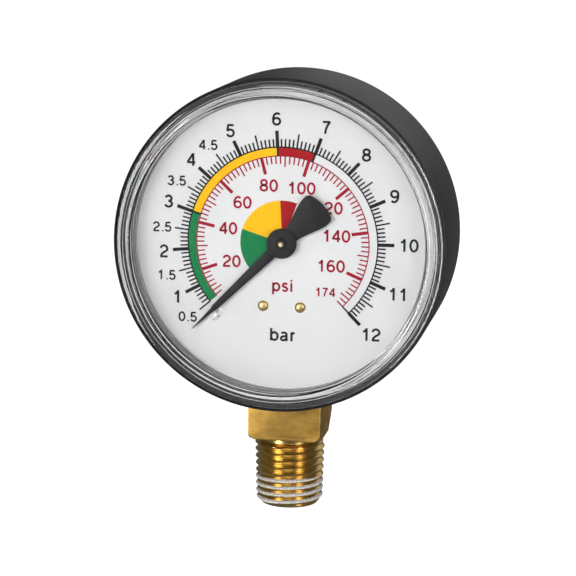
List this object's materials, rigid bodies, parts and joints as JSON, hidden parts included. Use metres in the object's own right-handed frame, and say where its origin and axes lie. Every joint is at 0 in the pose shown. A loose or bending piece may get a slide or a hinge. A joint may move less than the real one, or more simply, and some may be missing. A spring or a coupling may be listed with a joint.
{
  "type": "pressure gauge",
  "caption": "Round dial pressure gauge with a bottom threaded stem, a snap-in clear window, and a curved tube that turns the pointer through a gear sector.",
  "frame": {"origin": "centre of the stem's end face, on the stem's axis", "axes": "+Z along the stem's axis towards the case, -Y the way the dial faces, +X to the reader's right"},
  "size_m": [0.0634, 0.028, 0.0852],
  "materials": {
    "black_abs": "fine moulded satin",
    "clear_window": "clear polished plastic",
    "brass": "drawn and turned",
    "bronze": "drawn tube",
    "steel": "zinc plated",
    "rubber": "moulded matte",
    "white_paint": "satin white with printed scale",
    "black_paint": "matte black"
  },
  "bodies": {
    "case": {"case_body": "black_abs", "window": "clear_window", "blow_out_plug": "rubber", "case_screw_left": "steel", "case_screw_right": "steel", "stem_socket": "brass", "restrictor_screw": "brass", "bourdon_tube": "bronze", "hairspring": "bronze", "hairspring_stud": "brass", "movement_rear_plate": "brass", "movement_front_plate": "brass", "pillar_left": "brass", "pillar_right": "brass", "pillar_bottom": "brass", "plate_screw_left": "steel", "plate_screw_right": "steel", "plate_screw_bottom": "steel", "movement_screw_left": "steel", "movement_screw_right": "steel", "dial": "white_paint", "dial_rivet_left": "brass", "dial_rivet_right": "brass"},
    "pointer_shaft": {"pointer": "black_paint", "pinion_arbor": "brass", "hairspring_collet": "brass"},
    "sector": {"sector_gear": "brass", "sector_arbor": "steel", "link_screw_tail": "steel"},
    "link": {"link": "brass"},
    "tube_tip": {"tube_end_piece": "brass", "link_screw_tip": "steel"}
  },
  "joints": [
    {"name": "pointer_turn", "type": "hinge", "parent": "case", "child": "pointer_shaft", "pos_m": [0, -0.0112, 0.0535], "axis": [0, 1, 0], "range_deg": [0, 270], "stiffness_Nm_per_rad": 0.001, "springref_deg": -5.73, "deforming": ["hairspring"]},
    {"name": "sector_swing", "type": "hinge", "parent": "case", "child": "sector", "pos_m": [0.0042, -0.0056, 0.03832], "axis": [0, 1, 0], "range_deg": [-33.75, 0]},
    {"name": "link_swing", "type": "hinge", "parent": "sector", "child": "link", "pos_m": [0.00685, -0.0066, 0.03456], "axis": [0, 1, 0], "range_deg": [0, 32.8]},
    {"name": "tube_flex", "type": "hinge", "parent": "case", "child": "tube_tip", "pos_m": [-0.00184, -0.0056, 0.05857], "axis": [0, 1, 0], "range_deg": [-6.75, 0], "deforming": ["bourdon_tube"]}
  ],
  "couplings": [
    {"joint": "sector_swing", "follows": "pointer_turn", "ratio": -0.125},
    {"joint": "link_swing", "follows": "pointer_turn", "ratio": 0.12134},
    {"joint": "tube_flex", "follows": "pointer_turn", "ratio": -0.025}
  ]
}
